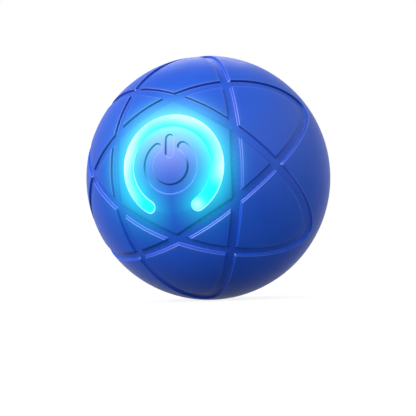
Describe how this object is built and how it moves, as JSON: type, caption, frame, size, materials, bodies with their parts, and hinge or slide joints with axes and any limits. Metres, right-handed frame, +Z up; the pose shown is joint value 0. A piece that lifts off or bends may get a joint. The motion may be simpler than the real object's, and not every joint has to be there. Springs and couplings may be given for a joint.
{
  "type": "self rolling cat ball",
  "caption": "Self rolling ball for cats with a lit power button in one pole, looped grooves, and a geared motor that turns an eccentric weight inside.",
  "frame": {"origin": "the middle of the ball", "axes": "+Z up, -Y out of the power button along the ball's rolling axis, +X to the right as one looks at the button"},
  "size_m": [0.043, 0.0426, 0.043],
  "materials": {
    "silicone_blue": "satin soft-touch silicone",
    "shell_plastic": "fine moulded ABS",
    "glow_lens": "milky light guide, lit cyan",
    "black_rubber": "matt",
    "board_green": "solder mask",
    "chip_black": "epoxy",
    "lamp_yellow": "clear resin over phosphor",
    "gear_plastic": "acetal",
    "steel": "plated",
    "brass": "turned",
    "zinc": "die cast zinc",
    "cell_silver": "foil pouch",
    "foam_grey": "foam",
    "ribbon_white": "laminated film"
  },
  "bodies": {
    "case": {"front_cover": "silicone_blue", "rear_cover": "silicone_blue", "front_shell": "shell_plastic", "rear_shell": "shell_plastic", "shell_gasket": "black_rubber", "shell_screw_1": "steel", "shell_screw_2": "steel", "shell_screw_3": "steel", "button_gasket": "black_rubber", "tact_switch": "steel", "control_board": "board_green", "control_chip": "chip_black", "motion_sensor": "chip_black", "led_1": "lamp_yellow", "led_2": "lamp_yellow", "led_3": "lamp_yellow", "led_4": "lamp_yellow", "led_5": "lamp_yellow", "led_6": "lamp_yellow", "front_bearing_plate": "shell_plastic", "rear_gear_plate": "shell_plastic", "front_bush": "brass", "rear_bush": "brass", "idler_pin": "steel", "motor_can": "steel", "motor_end_cap": "gear_plastic", "front_plate_screw_1": "steel", "front_plate_screw_2": "steel", "front_plate_screw_3": "steel", "gear_plate_screw_1": "steel", "gear_plate_screw_2": "steel", "gear_plate_screw_3": "steel", "battery": "cell_silver", "battery_foam": "foam_grey", "charge_board": "board_green", "charge_chip": "chip_black", "usb_port": "steel", "ribbon_cable": "ribbon_white", "front_ribbon_socket": "gear_plastic", "rear_ribbon_socket": "gear_plastic"},
    "weight_rotor": {"weight_carrier": "gear_plastic", "eccentric_weight": "zinc", "main_shaft": "steel"},
    "idler": {"idler_gear": "gear_plastic"},
    "motor_rotor": {"motor_pinion": "brass", "motor_shaft": "steel"},
    "power_button": {"button_panel": "silicone_blue", "ring_lens": "glow_lens", "switch_plunger": "chip_black"},
    "charge_plug": {"charge_port_plug": "silicone_blue"}
  },
  "joints": [
    {"name": "weight_spin", "type": "hinge", "parent": "case", "child": "weight_rotor", "pos_m": [0, 0, 0], "axis": [0, -1, 0], "continuous": true},
    {"name": "idler_spin", "type": "hinge", "parent": "case", "child": "idler", "pos_m": [-0.00769, -0.001, 0.00444], "axis": [0, -1, 0], "continuous": true},
    {"name": "motor_spin", "type": "hinge", "parent": "case", "child": "motor_rotor", "pos_m": [-0.00732, 0.003, -0.00323], "axis": [0, -1, 0], "continuous": true},
    {"name": "button_press", "type": "slide", "parent": "case", "child": "power_button", "axis": [0, 1, 0], "range_m": [0, 0.0004], "stiffness_N_per_m": 3000},
    {"name": "plug_pull", "type": "slide", "parent": "case", "child": "charge_plug", "axis": [0, 1, 0], "range_m": [0, 0.008]}
  ],
  "couplings": [
    {"joint": "idler_spin", "follows": "weight_spin", "ratio": -3.4},
    {"joint": "motor_spin", "follows": "weight_spin", "ratio": 9.52}
  ]
}
